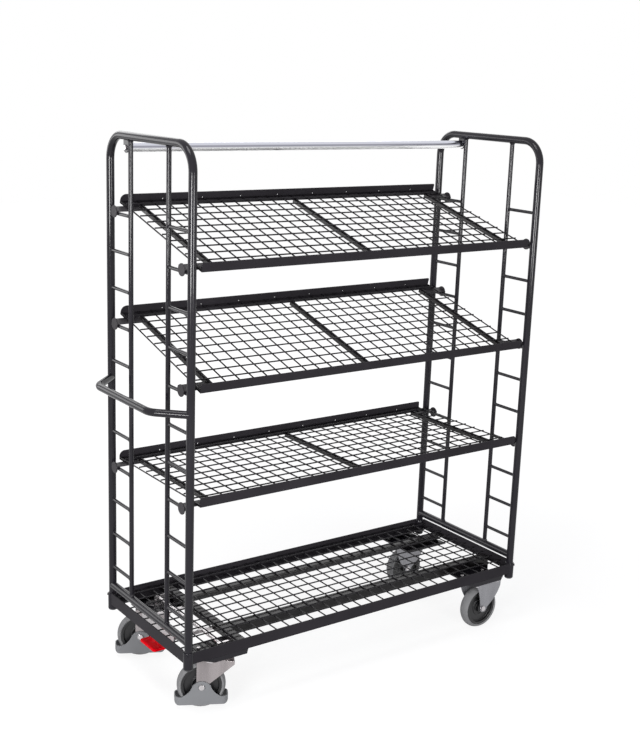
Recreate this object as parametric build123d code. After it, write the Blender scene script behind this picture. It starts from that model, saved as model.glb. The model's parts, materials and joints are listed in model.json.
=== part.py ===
from build123d import *
from math import asin, degrees, radians, sin, sqrt
import os

# Shelf trolley: two ladder-sided end frames, a caster-borne base with a wire deck,
# three lift-off wire shelves, a tie bar, a push handle and a central brake.
# Millimetres. X runs along the trolley with the handle at -X, Y runs from front to rear,
# Z is up from the floor. The origin is on the floor, midway between the four posts.

# Casters: wheels, forks, guards
wheel_d = 164.0
wheel_w = 40.0
tyre_depth = 14.0          # radial depth of the tyre at its sides
tyre_crown = 8.0           # how far the tread swells past the tyre's shoulders
tyre_seat_w = 34.0         # width of the hub's rim under the tyre
hub_rim_depth = 9.0
hub_web_t = 16.0
hub_boss_d = 38.0
hub_rib_d = 66.0           # outer diameter of the ring moulded on the hub's web
hub_rib_w = 6.0
hub_rib_h = 3.0
axle_d = 12.0
axle_head_d = 19.0
axle_head_h = 6.0
wheel_side_gap = 3.0       # between the tyre and a fork leg
fork_t = 3.0
fork_end_r = 17.0          # round lower end of a fork leg
caster_rise = 33.0         # top of a caster's plate above its wheel
caster_plate_t = 4.0
caster_plate_l = 140.0
caster_plate_w = 106.0
caster_plate_r = 12.0
caster_bolt_d = 8.0
caster_bolt_head_d = 13.0
caster_bolt_head_h = 5.5
caster_bolt_l = 105.0      # bolt spacing along the trolley
caster_bolt_w = 84.0       # bolt spacing across the trolley
swivel_inset_y = 52.0      # kingpin inside the posts' centre line
fixed_inset_y = 42.0       # fixed wheel's middle inside the posts' centre line
swivel_inset_x = 144.5     # kingpin inside the handle-end frame
swivel_heading = -28.0     # how the swivel casters stand, in degrees about Z
trail = 56.0               # kingpin ahead of the axle
swivel_leg_rear = 17.0     # swivel fork leg behind the axle
swivel_leg_front = 107.0   # swivel fork leg ahead of the axle, at the crown
swivel_wing_h = 10.0       # upright front edge of the leg's wing
swivel_wing_start = 26.5   # where the leg's wing starts to flare
swivel_wing_slope = 0.36   # sideways flare for each millimetre of the wing
race_d = 84.0
race_h = 8.7
crown_t = 4.0
kingpin_d = 20.0
kingpin_nut_d = 28.0
kingpin_nut_h = 9.7
fixed_axle_inset_x = 112.5 # fixed axle inside the other end frame
fixed_foot_lead = 5.0      # middle of the leg's round end ahead of the axle
fixed_leg_front = 75.0     # leg ahead of the axle, at the plate
fixed_wing_h = 24.0        # upright front edge of the leg
fixed_front_bulge = 7.0    # swell of the edge from there to the foot
fixed_leg_rear = 47.0      # outer leg behind the axle, at the plate
fixed_rear_hollow = 8.0    # hollow of the outer leg's rear edge
fixed_inner_rear = 70.0    # inner leg behind the axle, at the plate
fixed_inner_bulge = 12.0   # swell of the inner leg's rear edge
fixed_wing_start = 25.0
fixed_wing_slope = 0.26
fixed_rear_wing_start = 11.0
fixed_rear_wing_slope = 0.18
guard_gap = 4.5            # between the tyre and the guard's rim, fore and aft
guard_t = 3.0
guard_low = 18.0           # guard's lower edge above the floor
guard_h = 29.0             # height of the guard's rim
guard_corner_r = 20.0      # rim corners, seen from above
guard_foot_r = 14.0        # lower corners, seen from the side
guard_shoulder = 66.0      # where the rim starts to rise to the axle
guard_dip = 6.0            # hollow of the cheek's rising edge
guard_neck = 30.0          # half width of the cheek below its round head
guard_neck_rise = 4.0      # that place above the axle
guard_head_rise = 20.0     # top of the cheek above the axle

# Base: rails, sockets, deck
rail_h = 40.0
end_rail_h = 43.5
rail_t = 4.0
rail_flange = 38.0         # width of a long rail's lower flange
rail_out = 13.0            # rail's outer face beyond the posts' centre line
socket_wall = 3.2
socket_drop = 16.0         # socket below the rails
socket_dome = 8.0
socket_plug = 8.0
lock_screw_d = 5.0
lock_screw_head_d = 9.0
lock_screw_head_h = 3.0
lock_screw_drop = 8.0      # screw below the top of the socket
mount_plate_t = 4.0
mount_flange_h = 17.0      # mount plate's lower face below the rails
swivel_mount_inner = 220.5 # upper inner end of the mount plate's flange, from the end frame
swivel_mount_inner_lead = 5.0   # slant of that end
swivel_mount_outer = 53.5  # upper outer end of the flange, from the end frame
swivel_mount_outer_lead = 39.0
fixed_mount_inner = 227.5
fixed_mount_inner_lead = 39.0
fixed_mount_outer = 41.5
fixed_mount_outer_lead = 11.0
mount_corner = 30.0        # slanted outer corner of a swivel caster's mount plate
mount_wing_y = 88.0        # where a fixed caster's plate widens to the end rail, from the rail
kingpin_window_d = 70.0    # opening in the mount plate over a kingpin
bearing_w = 24.0           # lug that carries the brake shaft
bearing_t = 6.0
bearing_inset = 18.0       # lug from the mount plate's inner edge
channel_w = 33.0
channel_h = 33.0
channel_t = 3.0
channel_spacing = 300.0    # between the outer faces of the two deck angles
channel_shift = 7.0        # both of them, towards the rear
cross_inset_x = 209.5      # brake cross member inside the handle-end frame
cross_w = 42.0
cross_t = 3.0
wire_d = 5.0
wire_pitch = 51.5          # cross wires, along the trolley
row_pitch = 50.9           # long wires, from front to rear
deck_row_shift = -9.0      # the deck's middle long wire from its middle plane

# End frames, handle and tie bar
frame_length = 1425.0      # between the middle planes of the two end frames
frame_depth = 540.0        # between the centre lines of front and rear posts
tube_d = 26.9
tube_wall = 2.0
hoop_bend_r = 80.0
lower_tube_gap = 16.55     # below the lower cross tube, above the rails
first_rung_rise = 102.5    # lowest rung above the rails
rung_pitch = 125.0
rung_count = 11
rung_d = 12.0
hoop_rise = 254.1          # top tube above the highest rung
bar_d = 16.0
bar_spacing = 250.0
handle_rise = 791.0        # handle above the rails
handle_reach = 94.5        # handle beyond the end frame
handle_straight = 360.0    # between the corners of the handle's path
handle_bend_r = 60.0
handle_d = 25.0
tie_d = 30.0
tie_drop = 36.6            # tie bar below the top tube
tie_side_gap = 3.0         # between the tie bar and the bar beside it
tie_plug = 12.0
tie_bolt_d = 10.0
tie_bolt_head_d = 17.0
tie_bolt_head_h = 6.0
tie_bracket_t = 4.0
tie_bracket_w = 34.0

# Shelves
shelf_end_gap = 32.5       # end of a shelf's lips inside the end frame
lip_out = 10.0             # outer face of a lip beyond the posts' centre line
lip_up = 28.0              # upright leg above the flat leg
lip_flat = 35.0
lip_t = 3.0
lip_corner_r = 5.0
lip_round_r = 20.0         # rear lip's corner at the handle end
lip_hole_d = 4.5
lip_hole_pitch = 155.0
lip_hole_count = 8
lip_hole_shift = 20.0
lip_hole_rise = 8.0
hook_w = 40.0
hook_t = 4.0
hook_inset_y = 37.0        # middle of a hook inside the posts' centre line
hook_drop = 25.0           # bent end below the strip
hook_side_gap = 1.0        # between the bent end and its rung
shelf_cross_w = 18.0
shelf_cross_h = 12.0
shelf_cross_t = 2.0
shelf_cross_inset = 94.5   # outer cross members inside the end frame
shelf_row_shift = -13.0    # the middle long wire from the shelf's middle
shelf_end_wire = 4.0       # outermost cross wire inside the lip's end
# Rung numbers, counted from the top, that carry each shelf at the rear and at the front
shelf_rungs = {1: (1, 2), 2: (4, 5), 3: (8, 8)}

# Brake
shaft_d = 12.0
lever_t = 8.0
lever_hub_d = 24.0
lever_spacing = 190.0      # between the pedal's two levers
pedal_bar_x = 36.5         # bar between those levers, inside the end frame
pedal_bar_t = 6.0
pedal_bar_h = 24.0
pedal_bar_l = 224.0
hanger_w = 40.0            # plate from the bar down to the pedal
lever_h = 12.0
brake_finger_d = 10.0
spread_rod_d = 12.0        # rod that ties the arms and the levers together
spread_rod_reach = 54.0    # that rod from the brake shaft
finger_rise = 8.0          # finger's tip above the mount plate
plunger_d = 8.0
pad_d = 12.0
pad_h = 5.0
pad_gap = 1.0              # between the pressed pad and the tyre
pedal_angle = 10.0         # pedal's travel, in degrees
pedal_z = 164.0
pedal_l = 62.0
pedal_w = 102.0
pedal_t = 8.0
pedal_r = 9.0
pedal_beyond = 8.5         # pedal's outer edge beyond the end frame
arm_window_gap = 3.0

# Clearances
running_gap = 0.05         # between a shaft and its bore
seat_gap = 0.3             # between pieces that move past each other
socket_gap = 0.2           # between a post and its socket

# Places worked out from the sizes above
half_l = frame_length / 2
half_d = frame_depth / 2
axle_z = wheel_d / 2
caster_height = wheel_d + caster_rise
guard_length = wheel_d + 2 * (guard_gap + guard_t)
mount_top = caster_height + mount_plate_t
base_z = caster_height + mount_flange_h
rail_top = base_z + rail_h
deck_top = mount_top + channel_h
lower_tube_z = rail_top + lower_tube_gap + tube_d / 2
lowest_rung_z = rail_top + first_rung_rise
top_rung_z = lowest_rung_z + (rung_count - 1) * rung_pitch
top_z = top_rung_z + hoop_rise
handle_z = rail_top + handle_rise
socket_id = tube_d + 2 * socket_gap
socket_d = socket_id + 2 * socket_wall
socket_z = base_z - socket_drop
post_foot_z = socket_z + socket_plug
rail_y = half_d + rail_out
rail_x = half_l + rail_out
swivel_y = half_d - swivel_inset_y
fixed_y = half_d - fixed_inset_y
kingpin_x = -half_l + swivel_inset_x
fixed_axle_x = half_l - fixed_axle_inset_x
cross_x = -half_l + cross_inset_x
channel_y = channel_spacing / 2
mount_y = channel_y - channel_shift
bar_y = bar_spacing / 2
tie_y = bar_y + bar_d / 2 + tie_side_gap + tie_d / 2
tie_z = top_z - tie_drop
plate_under = caster_height - caster_plate_t
crown_top = plate_under - race_h - seat_gap
crown_under = crown_top - crown_t
nut_top = crown_under - seat_gap
kingpin_foot = nut_top - kingpin_nut_h
leg_inner = wheel_w / 2 + wheel_side_gap
leg_outer = leg_inner + fork_t
shaft_z = mount_top + channel_h / 2
arm_length = cross_x - kingpin_x
lever_y = lever_spacing / 2
shelf_half_l = half_l - shelf_end_gap
shelf_lip_y = half_d + lip_out
hook_y = half_d - hook_inset_y
shelf_cross_x = half_l - shelf_cross_inset
plunger_travel = arm_length * radians(pedal_angle)
far = 10 * frame_length
corners = [(sx, sy) for sx in (-1, 1) for sy in (-1, 1)]


def rod(start, end, diameter, wall=0.0):
    """A round bar from start to end, or a tube where it has a wall."""
    axis = Vector(*end) - Vector(*start)
    section = Circle(diameter / 2)
    if wall:
        section -= Circle(diameter / 2 - wall)
    return extrude(Plane(origin=start, z_dir=axis) * section, axis.length)


def block(x0, x1, y0, y1, z0, z1):
    """A box between two corners, given in any order."""
    size = (abs(x1 - x0), abs(y1 - y0), abs(z1 - z0))
    return Pos((x0 + x1) / 2, (y0 + y1) / 2, (z0 + z1) / 2) * Box(*size)


def plan(points, z0, z1):
    """A plate with an outline of (x, y) points between two heights."""
    face = make_face(Polyline(*[(x, y, z0) for x, y in points], close=True))
    return extrude(face, z1 - z0, dir=(0, 0, 1))


def side(points, y0, y1):
    """A plate with an outline of (x, z) points between two depths."""
    face = make_face(Polyline(*[(x, y0, z) for x, z in points], close=True))
    return extrude(face, y1 - y0, dir=(0, 1, 0))


def bent_tube(points, bend_r, diameter):
    """A tube along straight runs joined by bends."""
    path = FilletPolyline(*points, radius=bend_r)
    section = Circle(diameter / 2) - Circle(diameter / 2 - tube_wall)
    return sweep(Plane(origin=path @ 0, z_dir=path % 0) * section, path=path)


def save(name, *pieces):
    """Write one node; a node may be a group of separate solids."""
    solids = [solid for piece in pieces for solid in piece.solids()]
    export_step(Compound(solids), f"parts/{name}.step")


# Solid cores that other pieces are coped to
posts = [rod((sx * half_l, sy * half_d, post_foot_z), (sx * half_l, sy * half_d, top_z), tube_d)
         for sx, sy in corners]
sockets = [rod((sx * half_l, sy * half_d, socket_z), (sx * half_l, sy * half_d, top_z), socket_d)
           for sx, sy in corners]


# End frames
def hoop(x):
    points = [(x, -half_d, post_foot_z), (x, -half_d, top_z), (x, half_d, top_z), (x, half_d, post_foot_z)]
    return bent_tube(points, hoop_bend_r, tube_d)


def lower_tube(x):
    return rod((x, -half_d, lower_tube_z), (x, half_d, lower_tube_z), tube_d, tube_wall) - posts


def upright_bars(x):
    cross_cores = [rod((x, -half_d, z), (x, half_d, z), tube_d) for z in (lower_tube_z, top_z)]
    return [rod((x, y, lower_tube_z), (x, y, top_z), bar_d) - cross_cores for y in (-bar_y, bar_y)]


def rungs(x):
    made = []
    for sy in (-1, 1):
        bar = rod((x, sy * bar_y, lower_tube_z), (x, sy * bar_y, top_z), bar_d)
        for step in range(rung_count):
            z = lowest_rung_z + step * rung_pitch
            rung = rod((x, sy * bar_y, z), (x, sy * half_d, z), rung_d)
            made.append(rung - bar - posts)
    return made


# Push handle, bent outwards from the posts
def push_handle():
    x = -half_l - handle_reach
    y = handle_straight / 2
    points = [(-half_l, -half_d, handle_z), (x, -y, handle_z), (x, y, handle_z), (-half_l, half_d, handle_z)]
    return bent_tube(points, handle_bend_r, handle_d) - posts


# Tie bar with plugged ends, its hook plates and their bolts
def tie_bar():
    bar = rod((-half_l, tie_y, tie_z), (half_l, tie_y, tie_z), tie_d)
    hollow = half_l - tie_plug
    bar -= rod((-hollow, tie_y, tie_z), (hollow, tie_y, tie_z), tie_d - 2 * tube_wall)
    return bar - rod((-half_l, tie_y, tie_z), (half_l, tie_y, tie_z), tie_bolt_d)


def tie_bracket(sx):
    x0, x1 = sx * half_l, sx * (half_l + tie_bracket_t)
    plate = block(x0, x1, tie_y - tie_bracket_w / 2, tie_y + tie_bracket_w / 2, tie_z, top_z)
    plate += rod((x0, tie_y, tie_z), (x1, tie_y, tie_z), tie_bracket_w)
    slot_half = tie_bolt_d / 2
    plate -= rod((x0, tie_y, tie_z), (x1, tie_y, tie_z), tie_bolt_d)
    plate -= block(x0, x1, tie_y, tie_y + tie_bracket_w, tie_z - slot_half, tie_z + slot_half)
    return plate - rod((sx * half_l, -half_d, top_z), (sx * half_l, half_d, top_z), tube_d)


def tie_bolt(sx):
    outer = sx * (half_l + tie_bracket_t)
    shank = rod((sx * (half_l - tie_plug), tie_y, tie_z), (outer, tie_y, tie_z), tie_bolt_d)
    return shank + rod((outer, tie_y, tie_z), (outer + sx * tie_bolt_head_h, tie_y, tie_z), tie_bolt_head_d)


# Base rails: angles along the trolley and plain bars across it, coped to the sockets
def long_rail(sy):
    web = block(-half_l, half_l, sy * rail_y, sy * (rail_y - rail_t), base_z, rail_top)
    flange = block(-half_l, half_l, sy * rail_y, sy * (rail_y - rail_flange), base_z, base_z + rail_t)
    return web + flange - sockets


def end_rail(sx):
    web = block(sx * rail_x, sx * (rail_x - rail_t), -half_d, half_d, base_z, base_z + end_rail_h)
    return web - sockets


# Corner sockets, their domed caps and the screws that lock the posts
def lock_screw(sx, sy):
    z = rail_top - lock_screw_drop
    reach = [tube_d / 2, socket_d / 2, socket_d / 2 + lock_screw_head_h]
    inner, face, outer = [(sx * (half_l + r * sqrt(0.5)), sy * (half_d + r * sqrt(0.5)), z) for r in reach]
    return rod(inner, face, lock_screw_d) + rod(face, outer, lock_screw_head_d)


def corner_socket(sx, sy):
    x, y = sx * half_l, sy * half_d
    wall = rod((x, y, socket_z), (x, y, rail_top), socket_d, socket_wall)
    return wall - lock_screw(sx, sy)


def socket_cap(sx, sy):
    x, y = sx * half_l, sy * half_d
    dome = rod((x, y, socket_z - socket_dome), (x, y, socket_z), socket_d)
    dome = fillet(dome.edges().group_by(Axis.Z)[0], 0.95 * socket_dome)
    return dome + rod((x, y, socket_z), (x, y, post_foot_z), socket_id)


# Deck: two angles, a cross member over the brake shaft and a wire mesh
def deck_angle(sy):
    """Flat leg under the mesh, upright leg on the outer side, between cross member and end rail."""
    x0, x1 = cross_x + cross_w / 2, rail_x - rail_t
    y = sy * channel_y + channel_shift
    flat = block(x0, x1, y, y - sy * channel_w, deck_top - channel_t, deck_top)
    return flat + block(x0, x1, y, y - sy * channel_t, mount_top, deck_top)


def cross_member():
    half_w, low, y = cross_w / 2, base_z + rail_t, rail_y - rail_t
    outer = block(cross_x - half_w, cross_x + half_w, -y, y, low, deck_top)
    inner = block(cross_x - half_w + cross_t, cross_x + half_w - cross_t, -y, y, low, deck_top - cross_t)
    return outer - inner - lever_windows()


def lever_windows():
    half_t = lever_t / 2 + arm_window_gap
    return [block(cross_x - cross_w, cross_x, y - half_t, y + half_t, base_z, deck_top - cross_t)
            for y in (-swivel_y, -lever_y, lever_y, swivel_y)]


def mesh_places(end, pitch, shift=0.0):
    """Places of parallel wires that fit between two ends at +-end."""
    steps = int((end - abs(shift) - wire_d) / pitch)
    return [shift + k * pitch for k in range(-steps, steps + 1)]


def mesh_wires(cross_places, row_places, x_tip, y_tip, base):
    """Cross wires on the base height with long wires on top of them."""
    low, high = base + wire_d / 2, base + 1.5 * wire_d
    across = [rod((x, -y_tip, low), (x, y_tip, low), wire_d) for x in cross_places]
    return across + [rod((-x_tip, y, high), (x_tip, y, high), wire_d) for y in row_places]


def deck_mesh():
    x_end, y_end = rail_x - rail_t, rail_y - rail_t
    rows = mesh_places(y_end, row_pitch, deck_row_shift)
    wires = mesh_wires(mesh_places(x_end, wire_pitch), rows, x_end, y_end, deck_top)
    return [wire - sockets for wire in wires]


# Caster mount plates: pressed plates with a flange up to the rail
swivel_mount = (swivel_mount_inner, swivel_mount_inner_lead, swivel_mount_outer, swivel_mount_outer_lead)
fixed_mount = (fixed_mount_inner, fixed_mount_inner_lead, fixed_mount_outer, fixed_mount_outer_lead)


def mount_plate(sx, sy):
    swivel = sx < 0
    inner, lead_in, outer, lead_out = swivel_mount if swivel else fixed_mount
    x_in, x_out = half_l - inner, half_l - outer
    x_in_low, x_out_low = x_in + lead_in, x_out - lead_out
    if swivel:
        outline = [(x_in, mount_y), (x_in, rail_y - lead_in), (x_in_low, rail_y), (x_out_low, rail_y),
                   (x_out_low + mount_corner, rail_y - mount_corner), (x_out_low + mount_corner, mount_y)]
    else:
        x_rail, y_in, y_wing = rail_x - rail_t, mount_y - channel_w, rail_y - mount_wing_y
        outline = [(x_in_low, y_in), (x_in_low, rail_y), (x_out_low, rail_y), (x_out, rail_y - lead_out),
                   (x_out, y_wing), (x_rail, y_wing - x_rail + x_out), (x_rail, y_in)]
    plate = plan([(sx * x, sy * y) for x, y in outline], caster_height, mount_top)
    edge = [(x_in_low, caster_height), (x_out_low, caster_height), (x_out, base_z), (x_in, base_z)]
    y0, y1 = sorted((sy * rail_y, sy * (rail_y - mount_plate_t)))
    plate += side([(sx * x, z) for x, z in edge], y0, y1)
    if swivel:
        plate += bearing_lug(sy)
        plate -= rod((kingpin_x, sy * swivel_y, 0), (kingpin_x, sy * swivel_y, top_z), kingpin_window_d)
    return plate - bolt_shanks(sx, sy)


def bearing_lug(sy):
    """Upright lug with a round top that the brake shaft turns in."""
    y0, y1 = sorted((sy * (mount_y + bearing_inset), sy * (mount_y + bearing_inset + bearing_t)))
    lug = block(cross_x - bearing_w / 2, cross_x + bearing_w / 2, y0, y1, mount_top, shaft_z)
    lug += rod((cross_x, y0, shaft_z), (cross_x, y1, shaft_z), bearing_w)
    return lug - rod((cross_x, y0, shaft_z), (cross_x, y1, shaft_z), shaft_d + 2 * running_gap)


def bolt_places(sx, sy):
    x, y = (kingpin_x, sy * swivel_y) if sx < 0 else (fixed_axle_x, sy * fixed_y)
    return [(x + bx * caster_bolt_l / 2, y + by * caster_bolt_w / 2) for bx, by in corners]


def bolt_shanks(sx, sy):
    return [rod((x, y, plate_under), (x, y, mount_top), caster_bolt_d) for x, y in bolt_places(sx, sy)]


def caster_bolts(sx, sy):
    made = []
    for x, y in bolt_places(sx, sy):
        shank = rod((x, y, plate_under), (x, y, mount_top), caster_bolt_d)
        head = Pos(x, y, mount_top) * extrude(RegularPolygon(caster_bolt_head_d / 2, 6), caster_bolt_head_h)
        nut = Pos(x, y, plate_under) * extrude(RegularPolygon(caster_bolt_head_d / 2, 6), -caster_bolt_head_h)
        made.append(shank + head + nut)
    return made


# Wheels, turned about the Y axis at the origin
def mirrored_outline(half):
    return half + [(r, -y) for r, y in reversed(half)]


def turned(points):
    return revolve(make_face(Polyline(*points, close=True)), Axis.Y)


def hub():
    end = leg_inner - seat_gap
    rim_r = wheel_d / 2 - tyre_depth
    web = hub_web_t / 2
    rib_r = hub_rib_d / 2
    half = [(axle_d / 2 + running_gap, -end), (hub_boss_d / 2, -end), (hub_boss_d / 2, -web),
            (rib_r - hub_rib_w, -web), (rib_r - hub_rib_w, -web - hub_rib_h), (rib_r, -web - hub_rib_h),
            (rib_r, -web), (rim_r - hub_rim_depth, -web), (rim_r - hub_rim_depth, -tyre_seat_w / 2),
            (rim_r, -tyre_seat_w / 2)]
    return turned(mirrored_outline(half))


def tyre():
    rim_r, tread_r = wheel_d / 2 - tyre_depth, wheel_d / 2
    seat, half_w = tyre_seat_w / 2, wheel_w / 2
    bulge_r = rim_r + half_w - seat
    shoulder_r = tread_r - tyre_crown
    outline = [Line((rim_r, -seat), (bulge_r, -half_w)), Line((bulge_r, -half_w), (shoulder_r, -half_w)),
               ThreePointArc((shoulder_r, -half_w), (tread_r, 0), (shoulder_r, half_w)),
               Line((shoulder_r, half_w), (bulge_r, half_w)), Line((bulge_r, half_w), (rim_r, seat)),
               Line((rim_r, seat), (rim_r, -seat))]
    return revolve(make_face(outline), Axis.Y)


# Forks, built with the axle at the origin of X and the travel direction along +X
def leg(sy, outline, top, *bends):
    """A pressed leg beside the wheel; bends are (x, sideways) points of its inner face, rear to front."""
    flat = [(x, leg_inner + out) for x, out in bends] + [(x, leg_outer + out) for x, out in reversed(bends)]
    return plan([(x, sy * y) for x, y in flat], 0, top) & outline


def bowed(start, end, bow):
    """An arc from start to end in the (x, z) plane, bowed to the left of that way."""
    run, rise = end[0] - start[0], end[1] - start[1]
    chord = sqrt(run ** 2 + rise ** 2)
    middle_x = (start[0] + end[0]) / 2 - bow * rise / chord
    middle_z = (start[1] + end[1]) / 2 + bow * run / chord
    return ThreePointArc((start[0], 0, start[1]), (middle_x, 0, middle_z), (end[0], 0, end[1]))


def leg_outline(edges):
    return extrude(make_face(edges), far, both=True)


def leg_foot(x):
    """Round lower end of a leg, from its front edge to its rear edge."""
    points = [(x + fork_end_r, 0, axle_z), (x, 0, axle_z - fork_end_r), (x - fork_end_r, 0, axle_z)]
    return ThreePointArc(*points)


def axle_hole():
    return rod((0, -far, axle_z), (0, far, axle_z), axle_d)


def swivel_fork():
    rear, front = -swivel_leg_rear, swivel_leg_front
    points = [(rear, 0, axle_z), (rear, 0, crown_top), (front, 0, crown_top),
              (front, 0, crown_top - swivel_wing_h), (fork_end_r, 0, axle_z)]
    outline = leg_outline([Polyline(*points), leg_foot(0)])
    flare = (front - swivel_wing_start) * swivel_wing_slope
    bends = [(rear, 0), (swivel_wing_start, 0), (front, flare)]
    legs = [leg(sy, outline, crown_top, *bends) for sy in (-1, 1)]
    edge = [(x, leg_outer + out) for x, out in bends]
    crown = plan(edge + [(x, -y) for x, y in reversed(edge)], crown_under, crown_top)
    crown += Pos(trail, 0, crown_under) * extrude(Circle(race_d / 2), crown_t)
    fork = crown + legs - axle_hole()
    return fork - rod((trail, 0, 0), (trail, 0, top_z), kingpin_d + 2 * running_gap)


def fixed_bracket(sy):
    """Plate and two legs; the inner leg reaches further back than the outer one."""
    front, low = fixed_leg_front, plate_under - fixed_wing_h
    rear_foot, front_foot = (fixed_foot_lead - fork_end_r, axle_z), (fixed_foot_lead + fork_end_r, axle_z)
    bracket = extrude(Pos(0, 0, plate_under) * caster_plate_face(), caster_plate_t)
    legs = [(sy, fixed_leg_rear, -fixed_rear_hollow), (-sy, fixed_inner_rear, fixed_inner_bulge)]
    for side_y, rear, bow in legs:
        top = Polyline((-rear, 0, plate_under), (front, 0, plate_under), (front, 0, low))
        outline = leg_outline([bowed(rear_foot, (-rear, plate_under), bow), top,
                               bowed((front, low), front_foot, fixed_front_bulge), leg_foot(fixed_foot_lead)])
        bends = [(-rear, (rear - fixed_rear_wing_start) * fixed_rear_wing_slope), (-fixed_rear_wing_start, 0),
                 (fixed_wing_start, 0), (front, (front - fixed_wing_start) * fixed_wing_slope)]
        bracket += leg(side_y, outline, plate_under, *bends)
    return bracket - axle_hole()


def caster_plate_face():
    return RectangleRounded(caster_plate_l, caster_plate_w, caster_plate_r)


def axle(grip):
    """Bolt with a head and a nut outside the pieces that it clamps."""
    bolt = rod((0, -grip, axle_z), (0, grip, axle_z), axle_d)
    for sy in (-1, 1):
        bolt += rod((0, sy * grip, axle_z), (0, sy * (grip + axle_head_h), axle_z), axle_head_d)
    return bolt


def swivel_head():
    """Plate, ball race and hollow kingpin, with the kingpin at the origin."""
    head = Pos(0, 0, plate_under) * extrude(caster_plate_face(), caster_plate_t)
    head += rod((0, 0, plate_under - race_h), (0, 0, plate_under), race_d)
    head += rod((0, 0, kingpin_foot), (0, 0, plate_under), kingpin_d)
    head += rod((0, 0, kingpin_foot), (0, 0, nut_top), kingpin_nut_d)
    return head - rod((0, 0, 0), (0, 0, top_z), plunger_d + 2 * running_gap)


def guard():
    """Toe guard: a rim round the foot of the wheel, with cheeks rising to the axle."""
    half_l_guard, half_w = guard_length / 2, leg_outer + guard_t
    rim_top = guard_low + guard_h
    rim = RectangleRounded(guard_length, 2 * half_w, guard_corner_r)
    rim -= RectangleRounded(guard_length - 2 * guard_t, 2 * leg_outer, guard_corner_r - guard_t)
    rim = Pos(0, 0, guard_low) * extrude(rim, guard_h)
    neck, shoulder = (guard_neck, 0, axle_z + guard_neck_rise), (guard_shoulder, 0, rim_top)
    rise = Vector(*neck) - Vector(*shoulder)
    middle = (Vector(*neck) + Vector(*shoulder)) / 2
    hollow = middle + Vector(-rise.Z, 0, rise.X).normalized() * guard_dip
    curve = ThreePointArc(shoulder, hollow, neck)
    cap = ThreePointArc(neck, (0, 0, axle_z + guard_head_rise), (-guard_neck, 0, axle_z + guard_neck_rise))
    base = Polyline((-guard_shoulder, 0, rim_top), (-guard_shoulder, 0, guard_low),
                    (guard_shoulder, 0, guard_low), shoulder)
    cheek = make_face([base, curve, cap, mirror(curve, about=Plane.YZ)])
    cheeks = extrude(cheek, half_w, both=True) - extrude(cheek, leg_outer, both=True)
    foot = make_face(Polyline((-half_l_guard, 0, guard_low), (half_l_guard, 0, guard_low),
                              (half_l_guard, 0, wheel_d), (-half_l_guard, 0, wheel_d), close=True))
    foot = fillet(foot.vertices().group_by(Axis.Z)[0], guard_foot_r)
    return (rim + cheeks & extrude(foot, far, both=True)) - axle_hole()


# Shelves, built flat with the hook strips' underside at Z = 0
lip_base = hook_t
mesh_base = lip_base + lip_t


def shelf_lip(sy):
    top = mesh_base + lip_up
    upright = make_face(Polyline((-shelf_half_l, 0, lip_base), (shelf_half_l, 0, lip_base),
                                 (shelf_half_l, 0, top), (-shelf_half_l, 0, top), close=True))
    first_r = lip_corner_r if sy < 0 else lip_round_r
    upright = fillet(upright.vertices().group_by(Axis.Z)[-1].sort_by(Axis.X)[0], first_r)
    upright = fillet(upright.vertices().group_by(Axis.Z)[-1].sort_by(Axis.X)[-1], lip_corner_r)
    y0, y1 = sorted((sy * shelf_lip_y, sy * (shelf_lip_y - lip_t)))
    lip = Pos(0, y0, 0) * extrude(upright, lip_t, dir=(0, 1, 0))
    flat_y = sy * (shelf_lip_y - lip_flat)
    lip += block(-shelf_half_l, shelf_half_l, sy * shelf_lip_y, flat_y, lip_base, mesh_base)
    if sy > 0:
        z = mesh_base + lip_hole_rise
        for step in range(lip_hole_count):
            x = lip_hole_shift + (step - (lip_hole_count - 1) / 2) * lip_hole_pitch
            lip -= rod((x, y0, z), (x, y1, z), lip_hole_d)
    return lip


def shelf_hook(sx, sy):
    """Strip from the outer cross member over a rung, with a round end bent down outside it."""
    x_in = shelf_cross_x + shelf_cross_w / 2
    x_bend = half_l + rung_d / 2 + hook_side_gap
    y = sy * hook_y
    strip = block(sx * x_in, sx * (x_bend + hook_t), y - hook_w / 2, y + hook_w / 2, 0, hook_t)
    lobe_z = hook_w / 2 - hook_drop
    lobe = block(sx * x_bend, sx * (x_bend + hook_t), y - hook_w / 2, y + hook_w / 2, lobe_z, hook_t)
    lobe += rod((sx * x_bend, y, lobe_z), (sx * (x_bend + hook_t), y, lobe_z), hook_w)
    return strip + lobe


def shelf_cross_member(x):
    half_w, y = shelf_cross_w / 2, shelf_lip_y - lip_flat
    low = mesh_base - shelf_cross_h
    outer = block(x - half_w, x + half_w, -y, y, low, mesh_base)
    return outer - block(x - half_w + shelf_cross_t, x + half_w - shelf_cross_t, -y, y,
                         low, mesh_base - shelf_cross_t)


def shelf_mesh():
    x_end, y_end = shelf_half_l - shelf_end_wire, shelf_lip_y - lip_t
    cross = mesh_places(x_end - wire_pitch / 2, wire_pitch) + [-x_end, x_end]
    return mesh_wires(cross, mesh_places(y_end, row_pitch, shelf_row_shift), x_end, y_end, mesh_base)


def rung_top(number):
    return top_rung_z - (number - 1) * rung_pitch + rung_d / 2


def shelf_place(rear_rung, front_rung):
    """Tilt and lift that set the front edge of every hook strip just above its rung."""
    tilt = asin((rung_top(rear_rung) - rung_top(front_rung)) / (2 * hook_y))
    rise = rung_top(rear_rung) + seat_gap - (hook_y - hook_w / 2) * sin(tilt)
    return Pos(0, 0, rise) * Rot(degrees(tilt), 0, 0)


# Brake: a shaft under the cross member, levers on it, the pedal and two plungers
def brake_shaft():
    end = swivel_y + lever_t
    return rod((cross_x, -end, shaft_z), (cross_x, end, shaft_z), shaft_d)


def lever_hub(y):
    return rod((cross_x, y - lever_t / 2, shaft_z), (cross_x, y + lever_t / 2, shaft_z), lever_hub_d)


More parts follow.
